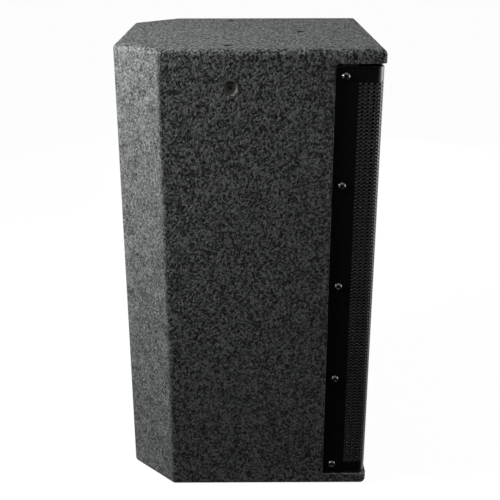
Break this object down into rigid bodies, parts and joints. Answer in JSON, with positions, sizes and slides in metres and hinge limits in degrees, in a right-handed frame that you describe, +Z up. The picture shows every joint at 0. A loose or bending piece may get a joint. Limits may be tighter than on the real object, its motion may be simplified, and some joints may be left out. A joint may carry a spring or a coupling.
{
  "type": "passive loudspeaker",
  "caption": "Two-way passive loudspeaker: plywood cabinet with bevelled rear corners, textured paint, wrap-round perforated steel grille, rigging points and rear input sockets",
  "frame": {"origin": "under the middle of the base", "axes": "+Z up, the grille faces -Y, +X is the viewer's right"},
  "size_m": [0.3, 0.3, 0.55],
  "materials": {
    "black_fastener": "black oxide",
    "black_stain": "matt black stained plywood",
    "capacitor_film": "film sleeve",
    "cast_frame": "black cast",
    "circuit_board": "solder-masked laminate",
    "cone_paper": "pressed fibre",
    "copper_winding": "enamelled copper",
    "dish_moulding": "black moulding",
    "driver_metal": "black lacquer",
    "driver_moulding": "black moulding",
    "ferrite": "sintered ferrite",
    "foam": "open-cell black foam",
    "gasket_rubber": "matt",
    "grille_steel": "satin black powder coat",
    "horn_moulding": "black moulding",
    "plated_steel": "zinc plated",
    "resistor_ceramic": "cement",
    "socket_moulding": "black glass-filled moulding",
    "spacer_nylon": "nylon",
    "textured_paint": "speckled textured paint on plywood",
    "treated_cloth": "doped cloth",
    "wadding_felt": "fibre wadding",
    "zinc_steel": "zinc plated"
  },
  "bodies": {
    "cabinet": {"board_spacers": "spacer_nylon", "bottom_panel": "textured_paint", "capacitors": "capacitor_film", "compression_driver": "driver_metal", "cross_brace": "black_stain", "crossover_board": "circuit_board", "dish_screws": "black_fastener", "driver_cover": "driver_moulding", "front_baffle": "black_stain", "grille": "grille_steel", "grille_foam": "foam", "grille_screws": "black_fastener", "horn": "horn_moulding", "horn_screws": "black_fastener", "inductors": "copper_winding", "left_corner_panel": "textured_paint", "left_port": "horn_moulding", "left_side_panel": "textured_paint", "left_wadding": "wadding_felt", "lower_socket": "socket_moulding", "magnet": "ferrite", "rear_panel": "textured_paint", "rear_wadding": "wadding_felt", "resistors": "resistor_ceramic", "rigging_bracket_left": "zinc_steel", "rigging_bracket_right": "zinc_steel", "rigging_plate_front": "zinc_steel", "rigging_screws": "zinc_steel", "right_corner_panel": "textured_paint", "right_port": "horn_moulding", "right_side_panel": "textured_paint", "right_wadding": "wadding_felt", "side_bolts": "black_fastener", "socket_inserts": "socket_moulding", "spider": "treated_cloth", "terminal_dish": "dish_moulding", "top_panel": "textured_paint", "top_plate": "plated_steel", "upper_socket": "socket_moulding", "woofer_frame": "cast_frame", "woofer_gasket": "gasket_rubber", "woofer_screws": "black_fastener", "woofer_surround": "treated_cloth", "yoke": "plated_steel"},
    "cone": {"woofer_cone": "cone_paper", "dust_cap": "cone_paper", "voice_coil": "copper_winding"}
  },
  "joints": [
    {"name": "cone_travel", "type": "slide", "parent": "cabinet", "child": "cone", "axis": [0, -1, 0], "range_m": [-0.005, 0.005], "stiffness_N_per_m": 4800, "deforming": ["woofer_surround", "spider"]}
  ]
}
